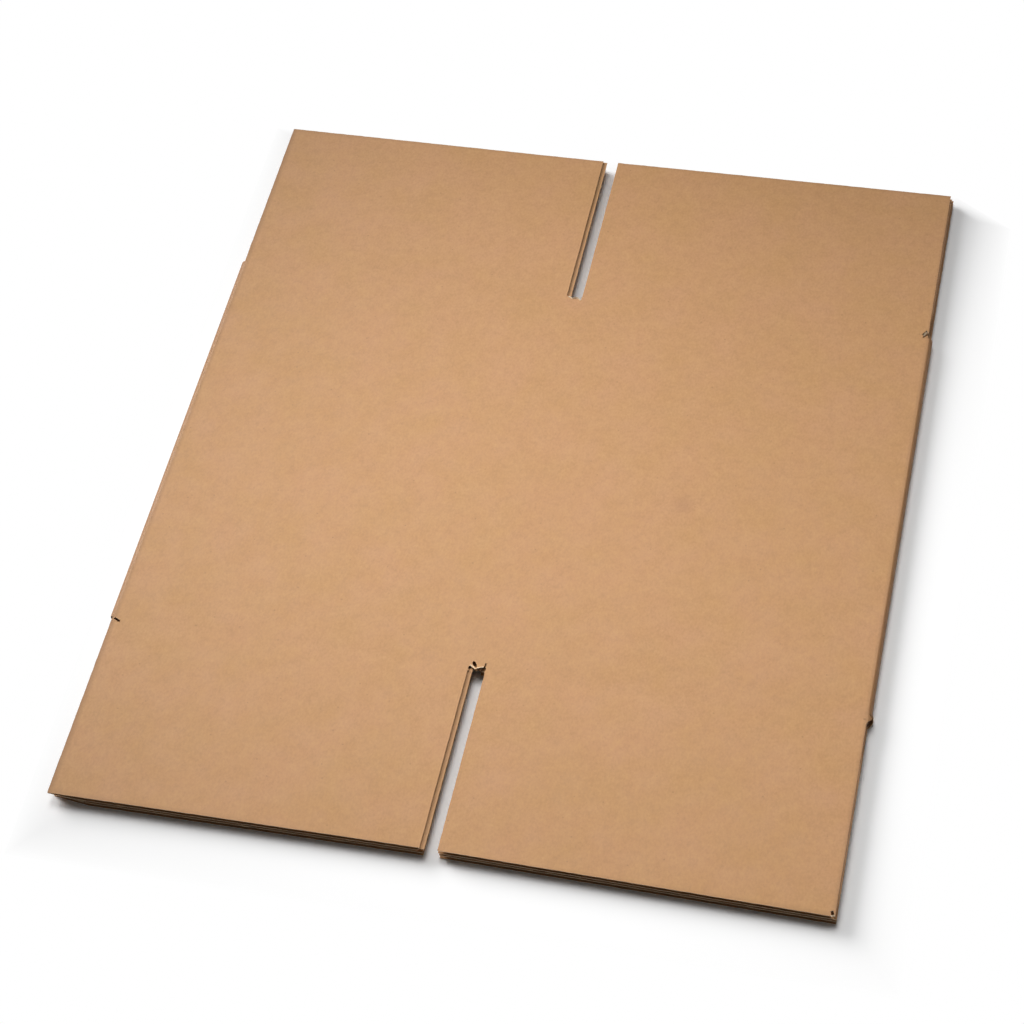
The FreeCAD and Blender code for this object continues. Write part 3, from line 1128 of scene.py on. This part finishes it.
@dataclass
class CorrugatedBoard:
    """The folded blank: two liners with a waved medium between them, and its glue tab."""

    sizes: CartonSizes
    liner: float = 0.3
    medium: float = 0.25
    flute_pitch: float = 6.355
    liner_step: float = 12.71
    flute_steps: int = 8
    bed: float = 0.02  # how far the medium's crests sink into the liners
    # Height of the medium inside a fold, how uneven it is, and the waves of that per millimetre
    squeezed: tuple[float, float, float] = (0.62, 0.2, 0.2)
    medium_setback: float = 1.2
    sharp_degrees: float = 38.0
    score_half: float = 3.5
    score_dip: float = 0.05
    right_ledge_y: Point = (136.0, 236.0)  # stretch of the right flap edges that is crushed
    flat_rows: tuple[float, ...] = (18.0, 36.0, 54.0, 72.0, 90.0, 108.0, 122.0, 148.0, 166.0, 184.0, 202.0,
                                    220.0, 234.0)
    end_rows: tuple[float, ...] = (60.0, 122.0, 150.0, 190.0, 230.0, 238.0)
    strips: tuple[CurledStrip, ...] = (
        CurledStrip("front_lip", ((1.9, -129.3), (1.3, -129.4), (-0.6, -130.2), (-1.3, -130.8),
                                  (-2.0, -131.3), (-3.3, -130.3), (-5.3, -129.0)), 0.7, 0.7),
        CurledStrip("back_lip", ((-6.3, 130.6), (-5.1, 130.2), (-3.7, 129.4), (-2.2, 130.4), (-0.2, 129.8),
                                 (1.2, 128.7)), 0.6, 0.5),
        CurledStrip("back_right_lip", ((200.3, 131.2), (201.2, 132.9), (202.3, 134.2)), 0.7, 0.6),
        CurledStrip("front_right_lip", ((201.4, -241.6), (202.3, -241.8), (203.4, -241.2)), 0.6, 0.5),
    )
    path: FoldPath = field(init=False)
    plan: CuttingPlan = field(init=False)

    def __post_init__(self) -> None:
        """Works out how the blank folds and what is cut from it."""
        self.path = FoldPath(self.sizes)
        self.plan = CuttingPlan(self.sizes, self.path)

    @property
    def score_rows(self) -> tuple[float, ...]:
        """Rows of points across one flap score."""
        return tuple(self.sizes.score_y + self.score_half * share for share in (-1, -0.5, 0, 0.5, 1))

    def score_depth(self, y: float) -> float:
        """Depth of the scores in the outer face."""
        from_flap = abs(abs(y) - self.sizes.score_y) / self.score_half
        return self.score_dip * max(0.0, 1 - from_flap * from_flap)

    def outer_depth(self, x: float, y: float, zone: Zone) -> float:
        """Depth of the outer liner's face."""
        return 0.0 if zone is Zone.FOLD else self.score_depth(y)

    @property
    def crushed_edges(self) -> dict[End, Point]:
        """Edges of the upper flaps that face right, where the knife pressed the board together."""
        found = {end: FLAP_EDGES[end, Layer.UPPER] for end in End}
        return {end: (edges.slot_left, edges.outer_right) for end, edges in found.items()}

    def inner_depth(self, x: float, y: float, zone: Zone) -> float:
        """Depth of the inner liner's outward face, which is pressed up at crushed edges.

        Args:
            x: place across the flutes.
            y: place along the flutes.
            zone: the part of the folded tube.

        Returns:
            The depth below the outer face.
        """
        depth = self.sizes.board - self.liner
        if zone is not Zone.UPPER or abs(y) <= self.sizes.score_y + TINY:
            return depth
        start, stop = self.sizes.ledge_ramp
        first, last = self.right_ledge_y
        for edge in self.crushed_edges[End.BACK if y > 0 else End.FRONT]:
            crushed = edge < self.sizes.fold_x / 2 or first < abs(y) < last
            if crushed and edge - start < x < edge + 2 * start:
                depth -= self.sizes.ledge_rise * min(1.0, (x - edge + start) / (start - stop))
        return depth

    def medium_depth(self, x: float, y: float, zone: Zone) -> float:
        """Depth of the waved medium, which lies squeezed inside a fold.

        Args:
            x: place across the flutes.
            y: place along the flutes.
            zone: the part of the folded tube.

        Returns:
            The depth below the outer face.
        """
        room = self.sizes.board - 2 * self.liner - self.medium + 2 * self.bed
        wave = 0.5 + 0.5 * math.cos(2 * math.pi * x / self.flute_pitch)
        if zone is Zone.FOLD:
            height, unevenness, waves = self.squeezed
            wave = height + unevenness * noise.noise(Vector((x, y, 0)) * waves)
        return self.liner - self.bed + room * wave

    def plies(self) -> list[Ply]:
        """Lists the three sheets of the board.

        Returns:
            The plies from the outside in.
        """
        rows = tuple(sorted((*self.flat_rows, *self.score_rows)))
        common = (self.sizes, self.path, self.plan)
        columns = tuple(edge - shift for edges in self.crushed_edges.values() for edge in edges
                        for shift in self.sizes.ledge_ramp)
        return [
            Ply("outer_liner", *common, self.liner, self.liner_step, rows, 0.0, self.outer_depth,
                edge_spacing=1.2, torn=True),
            Ply("fluted_medium", *common, self.medium, self.flute_pitch / self.flute_steps,
                (*self.end_rows, self.sizes.score_y), self.medium_setback, self.medium_depth,
                Paper.FLUTING, torn=True),
            Ply("inner_liner", *common, self.liner, self.liner_step, rows, 0.0, self.inner_depth,
                edge_spacing=2.0, columns=columns),
        ]

    def glue_tab(self) -> bmesh.types.BMesh:
        """Makes the crushed tab inside the tube, which is glued to the left lower panel.

        Returns:
            Its mesh, in metres.
        """
        sizes = self.sizes
        low_x = sizes.seam_right - sizes.tab_width
        high_x = sizes.seam_right + self.plan.overrun
        half = sizes.score_y - sizes.tab_clearance
        mesh = bmesh.new()
        bmesh.ops.create_grid(mesh, x_segments=12, y_segments=24, size=0.5)
        bmesh.ops.scale(mesh, vec=(high_x - low_x, 2 * half, 1), verts=mesh.verts)
        bmesh.ops.translate(mesh, vec=((low_x + high_x) / 2, 0, sizes.board), verts=mesh.verts)
        for vert in mesh.verts:
            free = max(0.0, (sizes.seam_right - vert.co.x) / sizes.tab_width)
            vert.co.y *= 1 - free * sizes.tab_taper / half
        bmesh.ops.solidify(mesh, geom=mesh.faces[:], thickness=-sizes.tab_thickness)
        return in_metres(mesh)

    def build(self) -> bpy.types.Object:
        """Builds all plies as one piece of board.

        Returns:
            The board's object.
        """
        noise.seed_set(NOISE_SEED)
        whole = bmesh.new()
        parts = [(ply.name, ply.build(), ply.kind) for ply in self.plies()]
        parts.append(("glue_tab", self.glue_tab(), Paper.LINER))
        parts += [(strip.name, strip.build(self.sizes.thickness), Paper.LINER) for strip in self.strips]
        for name, part, paper in parts:
            for face in part.faces:
                face.material_index = paper.value
                face.smooth = True
            open_edges = sum(not edge.is_manifold for edge in part.edges)
            LOG.info("%s: %d faces, %d open edges", name, len(part.faces), open_edges)
            scratch = bpy.data.meshes.new(name)
            part.to_mesh(scratch)
            part.free()
            whole.from_mesh(scratch)
            bpy.data.meshes.remove(scratch)
        data = bpy.data.meshes.new("corrugated_board")
        whole.to_mesh(data)
        whole.free()
        data.set_sharp_from_angle(angle=math.radians(self.sharp_degrees))
        return add_object("corrugated_board", data)

    def dress(self, board: bpy.types.Object) -> None:
        """Gives the board its papers and ties it to the frame.

        Args:
            board: the object that build made.
        """
        for finish in (KraftLiner(), FlutingMedium()):
            board.data.materials.append(finish.build())
        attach(board, BODY)
        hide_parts(NODE)


@dataclass(frozen=True)
class Softbox:
    """A soft studio lamp, placed by its direction from the object."""

    name: str
    azimuth: float
    elevation: float
    distance: float
    size: Point
    share: float
    aim: Point
    beam_slope: float

    def build(self) -> bpy.types.Object:
        """Makes the lamp, pointed at its aim.

        Its power is what gives a white floor its share of full white at the aim. A grid
        narrows its beam, so that the light fades away from the aim.

        Returns:
            The lamp's object.
        """
        lamp = bpy.data.lights.new(self.name, "AREA")
        lamp.shape = "RECTANGLE"
        lamp.size, lamp.size_y = self.size
        height = math.sin(math.radians(self.elevation))
        beam = math.atan(self.beam_slope)
        gain = self.beam_slope / (self.beam_slope - beam)
        lamp.spread = 2 * beam
        lamp.energy = math.pi ** 2 * self.distance ** 2 / height * self.share / gain
        holder = add_object(self.name, lamp)
        direction = direction_to(self.azimuth, self.elevation)
        aim = Vector((*self.aim, 0))
        holder.matrix_world = look_matrix(aim + direction * self.distance, aim, 0.0)
        holder.visible_camera = False
        return holder


def direction_to(azimuth: float, elevation: float) -> Vector:
    """Direction from the object to a place around it.

    Args:
        azimuth: degrees to the right of the front, seen from above.
        elevation: degrees above the floor.

    Returns:
        A unit vector.
    """
    turn, rise = math.radians(azimuth), math.radians(elevation)
    flat = math.cos(rise)
    return Vector((math.sin(turn) * flat, -math.cos(turn) * flat, math.sin(rise)))


def look_matrix(place: Vector, target: Vector, roll: float) -> Matrix:
    """Placement of a lamp or camera that looks at a target.

    Args:
        place: where it stands.
        target: what it looks at.
        roll: degrees that it is turned about its line of sight.

    Returns:
        The matrix for the object.
    """
    turn = (target - place).to_track_quat("-Z", "Y").to_matrix().to_4x4()
    return Matrix.Translation(place) @ turn @ Matrix.Rotation(math.radians(roll), 4, "Z")


@dataclass(frozen=True)
class Studio:
    """White surface, two soft lamps and the camera."""

    azimuth: float = 18.763
    elevation: float = 53.253
    distance: float = 1.40304
    target: tuple[float, float, float] = (-0.00519505, -0.02759539, 0.007)
    roll: float = -7.793
    lens: float = 89.7445
    floor_half: float = 3.0
    floor_drop: float = 0.0001
    ambience: float = 0.05
    lamps: tuple[Softbox, ...] = (
        Softbox("back_softbox", 195.1, 58.7, 1.357, (1.059, 0.910), 1.535, (0.204, -0.246), 0.418),
        Softbox("left_softbox", -122.2, 24.0, 0.899, (0.669, 0.406), 0.745, (0.197, -0.146), 0.634),
    )

    def build_camera(self) -> None:
        """Puts the camera where the photograph was taken from."""
        data = bpy.data.cameras.new("camera")
        data.lens = self.lens
        data.sensor_fit = "HORIZONTAL"
        data.clip_end = 20.0
        camera = add_object("camera", data)
        target = Vector(self.target)
        place = target + direction_to(self.azimuth, self.elevation) * self.distance
        camera.matrix_world = look_matrix(place, target, self.roll)
        bpy.context.scene.camera = camera

    def build_floor(self, sizes: CartonSizes) -> None:
        """Lays the white surface under the object.

        Args:
            sizes: the carton's sizes.
        """
        mesh = bmesh.new()
        bmesh.ops.create_grid(mesh, x_segments=1, y_segments=1, size=self.floor_half)
        bmesh.ops.translate(mesh, vec=(0, 0, -self.floor_drop), verts=mesh.verts)
        data = bpy.data.meshes.new("floor")
        mesh.to_mesh(data)
        mesh.free()
        floor = add_object("floor", data)
        data.materials.append(StudioFloor().build((sizes.half_width, sizes.half_length)))

    def build_world(self) -> None:
        """White where it is seen or mirrored, and dim as a light: the lamps do the lighting."""
        world = bpy.data.worlds.new("studio")
        bpy.context.scene.world = world
        tree = new_tree(world)
        rays = add_node(tree, "LightPath")
        seen = rays.outputs["Is Camera Ray"]
        for name in ("Is Glossy Ray", "Is Transmission Ray"):
            either = add_node(tree, "Math", {"operation": "MAXIMUM"}, {0: seen, 1: rays.outputs[name]})
            seen = either.outputs[0]
        dim = add_node(tree, "Background", inputs={"Color": linear("#FFFFFF"), "Strength": self.ambience})
        white = add_node(tree, "Background", inputs={"Color": linear("#FFFFFF"), "Strength": 1.0})
        mix = add_node(tree, "MixShader", inputs={0: seen, 1: dim.outputs[0], 2: white.outputs[0]})
        add_node(tree, "OutputWorld", inputs={"Surface": mix.outputs[0]})

    def build(self, sizes: CartonSizes) -> None:
        """Sets up everything that isn't part of the object.

        Args:
            sizes: the carton's sizes.
        """
        self.build_camera()
        self.build_floor(sizes)
        self.build_world()
        for lamp in self.lamps:
            lamp.build()
        bpy.context.scene.view_settings.view_transform = "Standard"


def corners(box: Iterable[Iterable[float]]) -> list[list[float]]:
    """A box's two corners as plain lists."""
    return [[float(value) for value in corner] for corner in box]


def main() -> None:
    """Builds the carton and the studio."""
    logging.basicConfig(level=logging.INFO, format="%(name)s: %(message)s")
    sizes = CartonSizes.from_frame()
    carton = CorrugatedBoard(sizes)
    board = carton.build()
    carton.dress(board)
    LOG.info("%s: %d faces", board.name, len(board.data.polygons))
    Studio().build(sizes)


if __name__ == "__main__":
    main()
